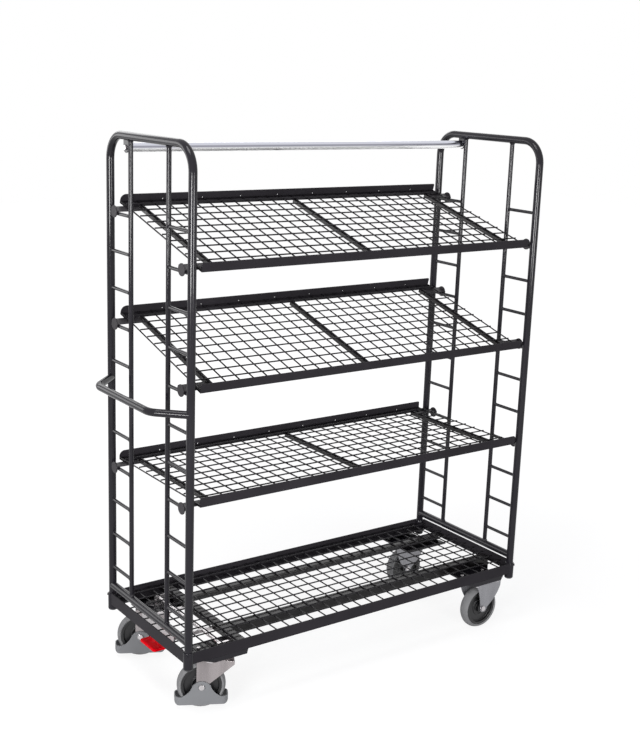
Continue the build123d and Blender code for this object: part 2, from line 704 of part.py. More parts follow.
def shaft_bore(y):
    return rod((cross_x, y - lever_t, shaft_z), (cross_x, y + lever_t, shaft_z), shaft_d)


def brake_arm(sy):
    """Arm from the shaft to a round-ended finger above the plunger."""
    y = sy * swivel_y
    under = shaft_z - lever_h / 4
    tip_x = kingpin_x - brake_finger_d / 2
    arm = lever_hub(y) + block(tip_x, cross_x, y - lever_t / 2, y + lever_t / 2, under, under + lever_h)
    ball_z = mount_top + finger_rise + brake_finger_d / 2
    finger = rod((kingpin_x, y, ball_z), (kingpin_x, y, under + lever_h), brake_finger_d)
    finger += Pos(kingpin_x, y, ball_z) * Sphere(brake_finger_d / 2)
    return arm + finger - shaft_bore(y)


def spread_rod():
    x = cross_x - spread_rod_reach
    return rod((x, -swivel_y, shaft_z), (x, swivel_y, shaft_z), spread_rod_d)


def pedal_frame():
    """Two levers from the shaft to an upright bar, with a hanger down to the pedal."""
    bar_x = -half_l + pedal_bar_x
    bar_z = shaft_z - pedal_bar_h / 2
    frame = block(bar_x - pedal_bar_t / 2, bar_x + pedal_bar_t / 2, -pedal_bar_l / 2, pedal_bar_l / 2,
                  bar_z, bar_z + pedal_bar_h)
    frame += block(bar_x - pedal_bar_t / 2, bar_x + pedal_bar_t / 2, -hanger_w / 2, hanger_w / 2,
                   pedal_z + pedal_t / 2, bar_z)
    for y in (-lever_y, lever_y):
        frame += lever_hub(y)
        frame += block(bar_x, cross_x, y - lever_t / 2, y + lever_t / 2,
                       shaft_z - lever_h / 2, shaft_z + lever_h / 2)
        frame -= shaft_bore(y)
    return frame


def brake_pedal():
    centre = -half_l - pedal_beyond + pedal_l / 2
    pedal = extrude(RectangleRounded(pedal_l, pedal_w, pedal_r), pedal_t)
    pedal = fillet(pedal.edges().group_by(Axis.Z)[-1], pedal_t / 3)
    return Pos(centre, 0, pedal_z - pedal_t / 2) * pedal


def brake_plunger(sy):
    y = sy * swivel_y
    nearest = trail - pad_d / 2
    pad_z = axle_z + sqrt(axle_z ** 2 - nearest ** 2) + plunger_travel + pad_gap
    top = mount_top + finger_rise - seat_gap
    plunger = rod((kingpin_x, y, pad_z), (kingpin_x, y, top), plunger_d)
    return plunger + rod((kingpin_x, y, pad_z), (kingpin_x, y, pad_z + pad_h), pad_d)


os.makedirs("parts", exist_ok=True)

for name, x in (("left", -half_l), ("right", half_l)):
    save(f"{name}_hoop", hoop(x))
    save(f"{name}_bars", *upright_bars(x))
    save(f"{name}_rungs", *rungs(x))
save("lower_tubes", lower_tube(-half_l), lower_tube(half_l))
save("push_handle", push_handle())
save("tie_bar", tie_bar())
save("tie_bar_brackets", tie_bracket(-1), tie_bracket(1))
save("tie_bar_bolts", tie_bolt(-1), tie_bolt(1))

save("front_rail", long_rail(-1))
save("rear_rail", long_rail(1))
save("left_rail", end_rail(-1))
save("right_rail", end_rail(1))
save("corner_sockets", *[corner_socket(sx, sy) for sx, sy in corners])
save("socket_caps", *[socket_cap(sx, sy) for sx, sy in corners])
save("socket_screws", *[lock_screw(sx, sy) for sx, sy in corners])
save("deck_channels", deck_angle(-1), deck_angle(1))
save("deck_cross_member", cross_member())
save("deck_mesh", *deck_mesh())
save("caster_mount_plates", *[mount_plate(sx, sy) for sx, sy in corners])
save("caster_bolts", *[bolt for sx, sy in corners for bolt in caster_bolts(sx, sy)])

fixed_axles = []
for name, sy in (("front", -1), ("rear", 1)):
    place = Pos(fixed_axle_x, sy * fixed_y, 0)
    wheel_place = place * Pos(0, 0, axle_z)
    holes = bolt_shanks(1, sy)
    save(f"fixed_{name}_bracket", place * fixed_bracket(sy) - holes)
    save(f"fixed_{name}_hub", wheel_place * hub())
    save(f"fixed_{name}_tyre", wheel_place * tyre())
    fixed_axles.append(place * axle(leg_outer))

    kingpin = Pos(kingpin_x, sy * swivel_y, 0)
    place = kingpin * Rot(0, 0, swivel_heading) * Pos(-trail, 0, 0)
    wheel_place = place * Pos(0, 0, axle_z)
    save(f"swivel_{name}_head", kingpin * swivel_head() - bolt_shanks(-1, sy))
    save(f"swivel_{name}_fork", place * swivel_fork())
    save(f"swivel_{name}_guard", place * guard())
    save(f"swivel_{name}_axle", place * axle(leg_outer + guard_t))
    save(f"swivel_{name}_hub", wheel_place * hub())
    save(f"swivel_{name}_tyre", wheel_place * tyre())
    save(f"brake_plunger_{name}", brake_plunger(sy))
save("fixed_axles", *fixed_axles)

for number, (rear_rung, front_rung) in shelf_rungs.items():
    place = shelf_place(rear_rung, front_rung)
    members = [place * shelf_cross_member(x) for x in (-shelf_cross_x, 0, shelf_cross_x)]
    save(f"shelf_{number}_lips", place * shelf_lip(-1), place * shelf_lip(1))
    save(f"shelf_{number}_hooks", *[place * shelf_hook(sx, sy) for sx, sy in corners])
    save(f"shelf_{number}_cross_members", *members)
    save(f"shelf_{number}_mesh", *[place * wire for wire in shelf_mesh()])

save("brake_shaft", brake_shaft())
save("brake_levers", spread_rod() + brake_arm(-1) + brake_arm(1) + pedal_frame())
save("brake_pedal", brake_pedal())
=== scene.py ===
# %% [markdown]
# # A shelf trolley
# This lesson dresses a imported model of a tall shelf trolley: two ladder-sided end frames of painted
# tube, three wire shelves, a wire deck on a caster base, a push handle, a tie bar and a red brake
# pedal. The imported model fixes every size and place, so the main sizes below are measured on it. Shown
# as it is, its tubes would have flat facets and its sheets razor edges. So here it gets round tubes and
# wires, softened edges, worked finishes, studio light and a camera.

import bpy
import bmesh
import json
import math
import numpy as np
from mathutils import Matrix, Vector

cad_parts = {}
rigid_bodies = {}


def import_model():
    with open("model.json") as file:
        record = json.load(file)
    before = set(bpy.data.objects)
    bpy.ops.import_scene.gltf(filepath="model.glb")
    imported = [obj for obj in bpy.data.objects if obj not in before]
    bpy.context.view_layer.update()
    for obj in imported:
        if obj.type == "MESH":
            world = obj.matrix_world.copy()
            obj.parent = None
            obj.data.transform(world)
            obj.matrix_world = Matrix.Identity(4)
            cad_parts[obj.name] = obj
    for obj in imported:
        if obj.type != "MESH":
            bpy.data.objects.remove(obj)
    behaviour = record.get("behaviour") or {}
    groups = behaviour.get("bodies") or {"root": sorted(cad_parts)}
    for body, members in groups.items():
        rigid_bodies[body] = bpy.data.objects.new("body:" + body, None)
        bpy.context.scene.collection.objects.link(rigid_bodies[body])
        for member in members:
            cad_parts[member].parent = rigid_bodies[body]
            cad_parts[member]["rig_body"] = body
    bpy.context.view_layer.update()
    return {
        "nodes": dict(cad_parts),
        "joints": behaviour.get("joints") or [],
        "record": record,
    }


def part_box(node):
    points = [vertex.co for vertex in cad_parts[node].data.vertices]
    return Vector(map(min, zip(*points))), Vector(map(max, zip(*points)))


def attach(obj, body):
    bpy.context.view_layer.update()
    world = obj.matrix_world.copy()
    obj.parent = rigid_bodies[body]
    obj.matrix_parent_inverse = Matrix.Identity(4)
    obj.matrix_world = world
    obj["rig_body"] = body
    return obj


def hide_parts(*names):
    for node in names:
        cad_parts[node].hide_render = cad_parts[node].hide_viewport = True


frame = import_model()
nodes = frame["nodes"]
slot_of = {part["node"]: part["material_slot"] for part in frame["record"]["subparts"]}


def box_of(node):
    """Lowest and highest corner of a node's solid, to a hundredth of a millimetre."""
    return np.array(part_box(node)).round(5)


# %% [markdown]
# ## The camera
# The photograph was taken from the front left, from a little above the trolley's top, through a short
# telephoto lens that looks slightly down. A camera could be aimed with a Track To constraint, but this
# picture is also rolled by two degrees. So the camera's three axes are worked out from an azimuth, an
# elevation and that roll.

# %% Camera
AZIMUTH, ELEVATION, ROLL = math.radians(-36.086), math.radians(13.655), math.radians(2.018)
CAMERA_AT = (-2.5135, -3.4031, 2.0871)
SENSOR_MM, LENS_MM, FARTHEST = 36.0, 60.08, 100.0


def placed(name, data):
    """A new object in the scene that shows a mesh, a lamp or a camera."""
    obj = bpy.data.objects.new(name, data)
    bpy.context.scene.collection.objects.link(obj)
    return obj


back = np.array([math.sin(AZIMUTH) * math.cos(ELEVATION),
                 -math.cos(AZIMUTH) * math.cos(ELEVATION),
                 math.sin(ELEVATION)])
level = np.array([math.cos(AZIMUTH), math.sin(AZIMUTH), 0.0])
upright = np.cross(back, level)
right = level * math.cos(ROLL) + upright * math.sin(ROLL)
up = upright * math.cos(ROLL) - level * math.sin(ROLL)
camera = placed("camera", bpy.data.cameras.new("camera"))
turn = Matrix(np.column_stack([right, up, back]).tolist()).to_4x4()
camera.matrix_world = Matrix.Translation(CAMERA_AT) @ turn
camera.data.sensor_width = SENSOR_MM
camera.data.lens = LENS_MM
camera.data.clip_end = FARTHEST
bpy.context.scene.camera = camera
print("camera at", [round(x, 3) for x in camera.location])

# %% [markdown]
# ## Shader arithmetic
# A finish is a recipe of numbers that change over the surface. It could be wired up node by node, but
# arithmetic is easier to read. So a small class wraps a socket, and each operator on it adds one Math
# node.


# %% Shader arithmetic
class Value:
    """A socket that takes part in arithmetic; each operator adds one Math node to its finish."""

    def __init__(self, finish, socket):
        self.finish = finish
        self.socket = socket

    def math(self, operation, first, second):
        return self.finish.node("ShaderNodeMath", {"operation": operation}, {0: first, 1: second})

    def __add__(self, other):
        return self.math("ADD", self, other)

    def __radd__(self, other):
        return self.math("ADD", other, self)

    def __sub__(self, other):
        return self.math("SUBTRACT", self, other)

    def __rsub__(self, other):
        return self.math("SUBTRACT", other, self)

    def __mul__(self, other):
        return self.math("MULTIPLY", self, other)

    def __rmul__(self, other):
        return self.math("MULTIPLY", other, self)


print("a value can be added, subtracted and multiplied, from either side")

# %% [markdown]
# ## A finish under way
# Every finish is one material with one shader. Each kind of node that feeds it could have a function
# of its own, but one method that takes a node's type, its settings and its sockets does for all of
# them. Short helpers on top of it give noise, ramps, mixes and bumps in object space.


# %% A finish under way
class Finish:
    """A material or a sky under way: its node tree, its shader, and one method that adds any node."""

    def __init__(self, owner, surface="Principled BSDF"):
        owner.use_nodes = True
        self.owner = owner
        self.tree = owner.node_tree
        self.surface = self.tree.nodes[surface]

    def feed(self, sockets, key, value):
        """Link a value to a socket, or set the socket to a constant."""
        if isinstance(value, Value):
            self.tree.links.new(value.socket, sockets[key])
        else:
            sockets[key].default_value = value

    def node(self, kind, settings=None, inputs=None, output=0):
        """Add a node: settings first, then the values or links of its sockets."""
        made = self.tree.nodes.new(kind)
        for key, value in (settings or {}).items():
            setattr(made, key, value)
        for key, value in (inputs or {}).items():
            self.feed(made.inputs, key, value)
        return Value(self, made.outputs[output])

    def place(self, stretch=(1.0, 1.0, 1.0)):
        """Object coordinates, with each axis stretched by a factor."""
        spot = self.node("ShaderNodeTexCoord", output="Object")
        return self.node("ShaderNodeMapping", {}, {"Vector": spot, "Scale": stretch})

    def noise(self, scale, detail=3.0, stretch=(1.0, 1.0, 1.0)):
        """Noise from 0 to 1 in object space."""
        return self.node("ShaderNodeTexNoise", {},
                         {"Vector": self.place(stretch), "Scale": scale, "Detail": detail})

    def ramp(self, factor, low, high):
        """0 at low and beyond it, 1 at high and beyond it, even between them."""
        return self.node("ShaderNodeMapRange", {"clamp": True},
                         {"Value": factor, "From Min": low, "From Max": high})

    def mix(self, factor, first, second):
        """A colour between two colours."""
        return self.node("ShaderNodeMix", {"data_type": "RGBA"},
                         {0: factor, 6: first, 7: second}, output=2)

    def bump(self, height, strength, distance):
        """A normal that leans with the slope of a height."""
        return self.node("ShaderNodeBump", {},
                         {"Height": height, "Strength": strength, "Distance": distance}, output="Normal")

    def finish(self, **sockets):
        """Set or link the shader's own sockets, with underscores for spaces, and give the owner."""
        for key, value in sockets.items():
            self.feed(self.surface.inputs, key.replace("_", " "), value)
        return self.owner


def material(name):
    """A new material under way."""
    return Finish(bpy.data.materials.new(name))


def tint(colour, factor=1.0, lift=0.0):
    """A colour made darker or lighter by a factor and then lifted, with a full alpha."""
    return (*[factor * c + lift for c in colour], 1.0)


print("half of white:", tint((1.0, 1.0, 1.0), 0.5))

# %% [markdown]
# ## Powder coat
# Frames, rails, shelves and wires are coated with an anthracite powder paint. It is even and half
# glossy, with a fine orange peel, faint clouds in its tone and a few pale rubs where crates and hands
# have scuffed it. A plain dark grey would look like plastic, so the orange peel is a bump, and the rubs
# are noise cut off at a threshold. One recipe gives five coats: a glossy one for the tubes, a dull one
# for the rails and lips, a cloudy one for the angles under the meshes, one for the wires and a paler
# one for the hooks.


# %% Powder coat
def powder_coat(name, colour, scuffed, roughness, gloss, cloud=5.0, mottle=0.15):
    """Paint with a share of scuffs and a specular level; cloud and mottle scale and deepen its clouds."""
    f = material(name)
    clouds = f.noise(cloud)
    grain = f.noise(scale=900.0, detail=2.0)
    patches = f.ramp(f.noise(scale=14.0, detail=6.0, stretch=(1.0, 1.0, 3.0)), low=0.66, high=0.80)
    rubs = patches * f.ramp(grain, low=0.35, high=0.65)
    tone = f.mix(f.ramp(clouds, low=0.3, high=0.7), tint(colour, 1 - mottle), tint(colour, 1 + mottle))
    worn = f.mix(rubs * scuffed, tone, tint(colour, 1.9, lift=0.01))
    return f.finish(Base_Color=worn, Roughness=roughness + clouds * 0.06 + rubs * 0.20,
                    Specular_IOR_Level=gloss, Normal=f.bump(grain, strength=0.03, distance=0.0004))


anthracite = powder_coat("anthracite_coat", (0.0165, 0.0150, 0.0195), 0.4, 0.08, 0.20)
sheet_coat = powder_coat("sheet_coat", (0.0310, 0.0286, 0.0330), 0.5, 0.36, 0.035)
deck_coat = powder_coat("deck_coat", (0.0210, 0.0190, 0.0205), 0.8, 0.22, 0.20, 22.0, 0.65)
wire_coat = powder_coat("wire_coat", (0.0150, 0.0138, 0.0165), 0.3, 0.24, 0.15)
hook_coat = powder_coat("hook_coat", (0.0500, 0.0465, 0.0515), 0.5, 0.36, 0.08)
print("powder coats:", [coat.name for coat in (anthracite, sheet_coat, deck_coat, wire_coat, hook_coat)])

# %% [markdown]
# ## Zinc plate
# Forks, brackets, swivel heads, bolts and brake levers are zinc plated: a dull warm grey metal with
# soft cells of lighter and darker plating and faint upright bands from rolling. A plain metal shader
# would look like chrome here, so three patterns are added up to mix a darker and a lighter tone. The
# fixed brackets are greyer. The heads, axles, bolts and levers are a lighter copy of the plate, a
# painted highlight for the bright light that they catch.


# %% Zinc plate
def zinc_plate(name, colour, roughness, cell):
    """Plated sheet: cells of a given scale, a rolled grain and wide bands mix two tones."""
    f = material(name)
    cells = f.node("ShaderNodeTexVoronoi", {"feature": "SMOOTH_F1"}, {"Vector": f.place(), "Scale": cell})
    rolled = f.noise(scale=60.0, detail=4.0, stretch=(3.0, 3.0, 0.25))
    bands = f.ramp(f.noise(scale=24.0, detail=2.0, stretch=(1.0, 1.0, 0.12)), low=0.36, high=0.64)
    tone = f.mix(cells * 0.2 + rolled * 0.2 + bands * 0.6, tint(colour, 0.68), tint(colour))
    return f.finish(Base_Color=tone, Metallic=0.7, Roughness=roughness + rolled * 0.12 - 0.06 * cells,
                    Normal=f.bump(rolled, strength=0.015, distance=0.0005))


zinc = zinc_plate("zinc_plate", (0.370, 0.337, 0.342), 0.22, 140.0)
bracket_zinc = zinc_plate("bracket_zinc", (0.320, 0.320, 0.340), 0.24, 110.0)
# a lighter copy of the zinc plate: painted highlight for the light that heads, axles, bolts and levers
# catch
head_zinc_painted_highlight = zinc_plate("head_zinc_painted_highlight", (0.70, 0.67, 0.68), 0.16, 160.0)
print("zinc plates:", zinc.name, bracket_zinc.name, head_zinc_painted_highlight.name)

# %% [markdown]
# ## Drawn zinc
# The tie bar is a brighter tube that was drawn lengthways, so its streaks run along it. In the
# photograph it mirrors something dark in a line along its side. The white studio here has nothing dark
# to mirror, and a dark card would show in the other pieces too. So the line is a painted reflection laid
# into the tube's colour by height over its axis: a painted dark reflection along the middle and a
# painted bright reflection on the underside, while the top keeps the plain tone.


# %% Drawn zinc
def drawn_zinc_and_painted_reflection(name, top, middle, under, roughness, axis_z):
    """Metal streaked along X, with three tones by height over the axis: the plain tone on top, a painted
    dark reflection in the middle and a painted bright reflection under it.
    """
    f = material(name)
    streaks = f.noise(scale=60.0, detail=5.0, stretch=(0.05, 6.0, 6.0))
    clouds = f.noise(scale=9.0)
    height = f.node("ShaderNodeSeparateXYZ", {}, {0: f.place()}, output="Z") - axis_z
    # painted reflection: the middle tone is a dark band and the under tone a bright underside, by height
    # over the axis
    below = f.mix(f.ramp(height, low=0.001, high=-0.005), tint(middle), tint(under))
    sides = f.mix(f.ramp(height, low=0.004, high=0.008), below, tint(top))
    tone = f.mix(streaks * 0.3, sides, tint(top, 0.7))
    return f.finish(Base_Color=tone, Metallic=1.0,
                    Roughness=roughness + streaks * 0.10 + clouds * 0.06,
                    Normal=f.bump(streaks, strength=0.02, distance=0.0003))


tie_bar = box_of("tie_bar")
tie_z = tie_bar[:, 2].mean()
# the middle and under tones are painted reflections, a dark band and a bright underside; the top is the
# plain zinc
tie_zinc_painted_reflection = drawn_zinc_and_painted_reflection("tie_bar_zinc_painted_reflection", top=(0.68, 0.69, 0.77), middle=(0.28, 0.28, 0.33),
                      under=(1.0, 1.0, 1.0), roughness=0.12, axis_z=tie_z)
print("drawn zinc:", tie_zinc_painted_reflection.name, "with its axis at", round(tie_z, 4))

# %% [markdown]
# ## Rubber and mouldings
# Tyres are matt grey rubber that picks up dust on the tread, hubs are near-black nylon, the toe guards
# are a grained grey moulding, the feet of the sockets are dark caps, and the pedal is a smooth red
# moulding with fine scuffs. One recipe with many switches would be hard to read, so rubber, grained
# and smooth mouldings each have their own.


# %% Rubber and mouldings
def rubber(name, colour):
    """Matt rubber with pores as a bump and paler dust in patches."""
    f = material(name)
    pores = f.noise(scale=700.0, detail=3.0)
    dust = f.ramp(f.noise(scale=26.0, detail=5.0), low=0.42, high=0.72)
    tone = f.mix(dust, tint(colour), tint(colour, 1.18, lift=0.006))
    return f.finish(Base_Color=tone, Roughness=0.62 + dust * 0.2,
                    Normal=f.bump(pores, strength=0.16, distance=0.0004))


def grained_moulding(name, colour, roughness, grain_depth):
    """Moulded plastic with a fine grain as a bump and faint clouds in its tone."""
    f = material(name)
    grain = f.noise(scale=520.0, detail=2.0)
    clouds = f.noise(scale=12.0)
    tone = f.mix(clouds, tint(colour, 0.90), tint(colour, 1.08))
    return f.finish(Base_Color=tone, Roughness=roughness + clouds * 0.1,
                    Normal=f.bump(grain, strength=grain_depth, distance=0.0005))


def smooth_moulding(name, colour):
    """Moulded plastic with faint clouds and rougher, darker scuffs."""
    f = material(name)
    clouds = f.noise(scale=18.0)
    scuffs = f.ramp(f.noise(scale=90.0, detail=6.0, stretch=(1.0, 4.0, 1.0)), low=0.66, high=0.80)
    tone = f.mix(clouds * 0.6 + scuffs * 0.3, tint(colour), tint(colour, 0.80))
    return f.finish(Base_Color=tone, Roughness=0.34 + scuffs * 0.15, Specular_IOR_Level=0.03)


tyre_rubber = rubber("tyre_rubber", (0.210, 0.210, 0.215))
hub_nylon = grained_moulding("hub_nylon", (0.004, 0.004, 0.005), 0.36, 0.10)
guard_grey = grained_moulding("guard_moulding", (0.206, 0.210, 0.220), 0.50, 0.20)
cap_black = grained_moulding("cap_moulding", (0.022, 0.022, 0.025), 0.48, 0.15)
pedal_red = smooth_moulding("pedal_red", (0.90, 0.0005, 0.008))
print("mouldings:", [made.name for made in (tyre_rubber, hub_nylon, guard_grey, cap_black, pedal_red)])

# %% [markdown]
# ## Finishes on the nodes
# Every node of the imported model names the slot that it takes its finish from. Finishes could be set
# piece by piece, but by slot even the small pieces that keep their plain solid, such as the screws in
# the sockets, are dressed.

# %% Finishes on the nodes
finish_of = {"frame_paint": anthracite, "zinc": zinc, "bright_zinc": tie_zinc_painted_reflection,
             "tyre_rubber": tyre_rubber, "hub_plastic": hub_nylon, "guard_plastic": guard_grey,
             "cap_plastic": cap_black, "pedal_red": pedal_red}
for name, obj in nodes.items():
    obj.material_slots[0].material = finish_of[slot_of[name]]
print("finishes on nodes:", len(nodes))

# %% [markdown]
# ## Surfaces from arrays
# Tubes, wires, wheels and domes are all a profile carried along a path. They could be bevelled curves
# or spun edges, but an array of points keeps every size exact. The points are one array of rings, and
# the faces follow from the grid, so nothing loops over points. Two helpers turn them into a mesh, give
# it a finish and let it stand for its node.


# %% Surfaces from arrays
def grid_faces(rows, columns, close_rows):
    """Quads between neighbouring rings: the point in row r and column c has the number r times columns
    plus c. The columns close round, and the rows may close too."""
    count = rows if close_rows else rows - 1
    r, c = np.meshgrid(np.arange(count), np.arange(columns), indexing="ij")
    r1, c1 = (r + 1) % rows, (c + 1) % columns
    corners = [r * columns + c, r * columns + c1, r1 * columns + c1, r1 * columns + c]
    return np.stack(corners, -1).reshape(-1, 4)


def dressed(name, mesh, node, finish, angle):
    """An object for a mesh, smooth up to an angle, that rides with its node's body, has the finish and
    stands for it."""
    mesh.materials.clear()
    mesh.materials.append(finish)
    count = len(mesh.polygons)
    mesh.polygons.foreach_set("material_index", np.zeros(count, np.int32))
    mesh.polygons.foreach_set("use_smooth", np.ones(count, bool))
    mesh.set_sharp_from_angle(angle=math.radians(angle))
    obj = placed(name, mesh)
    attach(obj, nodes[node]["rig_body"])
    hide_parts(node)
    return obj


def piece(name, points, faces, node, finish, angle=35.0):
    """A piece from points and faces, with its faces turned outwards."""
    mesh = bpy.data.meshes.new(name)
    mesh.from_pydata(np.asarray(points, float).reshape(-1, 3).tolist(), [], faces)
    shape = bmesh.new()
    shape.from_mesh(mesh)
    bmesh.ops.recalc_face_normals(shape, faces=shape.faces)
    shape.to_mesh(mesh)
    shape.free()
    return dressed(name, mesh, node, finish, angle)


print("faces of an open grid of 3 by 4 points:", len(grid_faces(3, 4, False)))

# %% [markdown]
# ## The bent tubes
# Each end frame is one tube bent into a hoop, and the push handle is a shallower bend welded to the
# left posts. A curve with a round bevel could draw them, but its handles only come near a true bend.
# So a circle is carried along straight runs and arcs that have the radius of the bending tool.


# %% Tubes along a path
TUBE_SIDES = 40


def bend_path(corners, radius, steps=14):
    """Straight runs joined by arcs that touch both runs. An arc's centre lies on the bisector of its
    corner, the radius over the sine of half the angle away. The spokes to the two touching points are
    blended by sines, which turns one into the other at an even rate."""
    corners = np.asarray(corners, float)
    out = [corners[:1]]
    for before, corner, after in zip(corners, corners[1:], corners[2:]):
        a = (before - corner) / np.linalg.norm(before - corner)
        b = (after - corner) / np.linalg.norm(after - corner)
        half = math.acos(float(np.clip(a @ b, -1, 1))) / 2
        middle = corner + (a + b) / np.linalg.norm(a + b) * radius / math.sin(half)
        first = corner + a * radius / math.tan(half) - middle
        last = corner + b * radius / math.tan(half) - middle
        sweep = math.pi - 2 * half
        t = np.linspace(0, 1, steps)[:, None]
        arc = (np.sin((1 - t) * sweep) * first + np.sin(t * sweep) * last) / math.sin(sweep)
        out.append(middle + arc)
    return np.concatenate(out + [corners[-1:]])


def tube(path, radius, across):
    """A tube round a path in one plane, whose normal is across. A ring's point is the path's point, plus
    the radius times the cosine of an angle square to the path in its plane, plus the radius times the
    sine of that angle along the normal. Flat caps close the ends."""
    along = np.gradient(path, axis=0)
    along /= np.linalg.norm(along, axis=1, keepdims=True)
    out = np.cross(across, along)
    a = np.linspace(0, 2 * math.pi, TUBE_SIDES, endpoint=False)[None, :, None]
    spokes = np.cos(a) * out[:, None] + np.sin(a) * np.asarray(across)
    rings = path[:, None] + radius * spokes
    ring = np.arange(TUBE_SIDES)
    caps = [ring.tolist(), (ring + (len(path) - 1) * TUBE_SIDES).tolist()]
    return rings.reshape(-1, 3), grid_faces(len(path), TUBE_SIDES, False).tolist() + caps


square_bend = bend_path([(0, 0, 0), (2, 0, 0), (2, 2, 0)], 1.0)
print("a square bend runs from", square_bend[1].round(3).tolist(), "to", square_bend[-2].round(3).tolist())

# %% Hoops and handle
hoop, lower_tubes, handle = box_of("right_hoop"), box_of("lower_tubes"), box_of("push_handle")
post_r = np.ptp(lower_tubes[:, 2]) / 2
half_l, half_d = hoop[:, 0].mean(), lower_tubes[1, 1]
foot_z, lower_z, top_z = hoop[0, 2], lower_tubes[:, 2].mean(), hoop[1, 2] - post_r
HOOP_BEND_R = 0.080
END_FRAMES = (("left", -half_l), ("right", half_l))
for side, x in END_FRAMES:
    corners = [(x, -half_d, foot_z), (x, -half_d, top_z), (x, half_d, top_z), (x, half_d, foot_z)]
    hoop_path = bend_path(corners, HOOP_BEND_R)
    piece(f"{side}_hoop_tube", *tube(hoop_path, post_r, (1.0, 0.0, 0.0)), f"{side}_hoop", anthracite)

HANDLE_R, HANDLE_BEND_R, HANDLE_CORNER_Y = 0.0125, 0.060, 0.180
handle_x, handle_z = handle[0, 0] + HANDLE_R, handle[0, 2] + HANDLE_R
corners = [(-half_l, -half_d, handle_z), (handle_x, -HANDLE_CORNER_Y, handle_z),
           (handle_x, HANDLE_CORNER_Y, handle_z), (-half_l, half_d, handle_z)]
handle_path = bend_path(corners, HANDLE_BEND_R)
piece("push_handle_tube", *tube(handle_path, HANDLE_R, (0.0, 0.0, 1.0)), "push_handle", anthracite)
print("posts at", round(half_l, 5), round(half_d, 5), "radius", round(post_r, 5), "top", round(top_z, 5))
print("handle at", round(handle_x, 5), "and", round(handle_z, 5), "lower tubes at", round(lower_z, 5))

# %% [markdown]
# ## Rods in bulk
# Bars, rungs and mesh wires are hundreds of straight rods. A cylinder for each would be slow and would
# have bare cut ends. So one function makes a whole set: every rod has the same list of stations along
# it, each with its own radius, so that a rung can swell into a weld and a wire can have a rounded end.


# %% Rods in bulk
def stacked_faces(count, rows, columns):
    """Faces of several equal stacks of rings, one after another, each with a flat cap on both ends."""
    size = rows * columns
    first = np.arange(count)[:, None, None] * size
    quads = (grid_faces(rows, columns, False)[None] + first).reshape(-1, 4).tolist()
    ring = np.arange(columns)
    caps = np.concatenate([first[:, 0] + ring, first[:, 0] + size - columns + ring]).tolist()
    return quads + caps


def rods(starts, ends, stations, sides=16):
    """All rods of a set. A station is a distance along the rod, or back from its end where it is negative
    (minus zero is the end itself), and a radius. A point is the rod's start, plus the distance along it,
    plus the radius times a spoke that turns about it. Flat caps close the ends."""
    starts, ends = np.asarray(starts, float), np.asarray(ends, float)
    length = np.linalg.norm(ends - starts, axis=1)
    along = (ends - starts) / length[:, None]
    helper = np.where(np.abs(along[:, 2:]) < 0.9, [[0.0, 0.0, 1.0]], [[1.0, 0.0, 0.0]])
    u = np.cross(helper, along)
    u /= np.linalg.norm(u, axis=1, keepdims=True)
    v = np.cross(along, u)
    s, r = np.array(stations, float).T
    place = np.where(np.signbit(s)[None], length[:, None] + s[None], s[None])
    a = np.linspace(0, 2 * math.pi, sides, endpoint=False)
    spoke = np.cos(a)[None, :, None] * u[:, None] + np.sin(a)[None, :, None] * v[:, None]
    line = starts[:, None] + place[:, :, None] * along[:, None]
    points = line[:, :, None] + r[None, :, None, None] * spoke[:, None]
    return points.reshape(-1, 3), stacked_faces(len(starts), len(s), sides)


print("faces of two rods with three stations and six sides:", len(stacked_faces(2, 3, 6)))

# %% [markdown]
# ## Bars and rungs
# Each end frame has two upright bars between its posts, and 22 short rungs from bars to posts, so that
# a shelf can hang at eleven heights. They are welded, so each rod swells into a small bead where it
# comes out of a tube. Beads could be separate rings, but as stations of the rod they need no joint.


# %% Bars and rungs
def weld_stations(radius, bead, near, far):
    """A rod with a weld bead where it comes out of a tube: near and far are the radii of the tubes at its
    start and end, and the bead falls away to the rod's own radius over twice its height."""
    profile = [(-0.001, 1.0), (0.4 * bead, 0.8), (1.3 * bead, 0.15), (2.0 * bead, 0.0), (3.5 * bead, 0.0)]
    start = [(near + s, radius + share * bead) for s, share in profile]
    end = [(-(far + s), radius + share * bead) for s, share in reversed(profile)]
    return start + end


BAR_BEAD, RUNG_BEAD, BAR_SIDES, RUNG_COUNT = 0.0025, 0.0018, 24, 11
bars, rungs = box_of("left_bars"), box_of("left_rungs")
bar_r, rung_r = np.ptp(bars[:, 0]) / 2, np.ptp(rungs[:, 0]) / 2
bar_y = np.ptp(bars[:, 1]) / 2 - bar_r
rung_z = np.linspace(rungs[0, 2] + rung_r, rungs[1, 2] - rung_r, RUNG_COUNT)
bar_stations = weld_stations(bar_r, BAR_BEAD, near=post_r, far=post_r)
rung_stations = weld_stations(rung_r, RUNG_BEAD, near=bar_r, far=post_r)
for side, x in END_FRAMES:
    low, high = [[(x, y, z) for y in (-bar_y, bar_y)] for z in (lower_z, top_z)]
    piece(f"{side}_bars_round", *rods(low, high, bar_stations, BAR_SIDES), f"{side}_bars", anthracite)
    inner, outer = [[(x, sy * y, z) for sy in (-1, 1) for z in rung_z] for y in (bar_y, half_d)]
    piece(f"{side}_rungs_round", *rods(inner, outer, rung_stations), f"{side}_rungs", anthracite)
print("bars:", 2 * len(low), "at", round(bar_y, 5), "radius", round(bar_r, 5))
print("rungs:", 2 * len(inner), "from", round(rung_z[0], 5), "to", round(rung_z[-1], 5))

# %% [markdown]
# ## Lower tubes and tie bar
# A straight tube crosses each end frame just above the deck, and the tie bar joins the two hoops at
# the top. Both are long rods. The tie bar's ends show, so they are slightly rounded, with one more ring
# a little further in, because a single ring at the edge would bend the shading of the whole side.


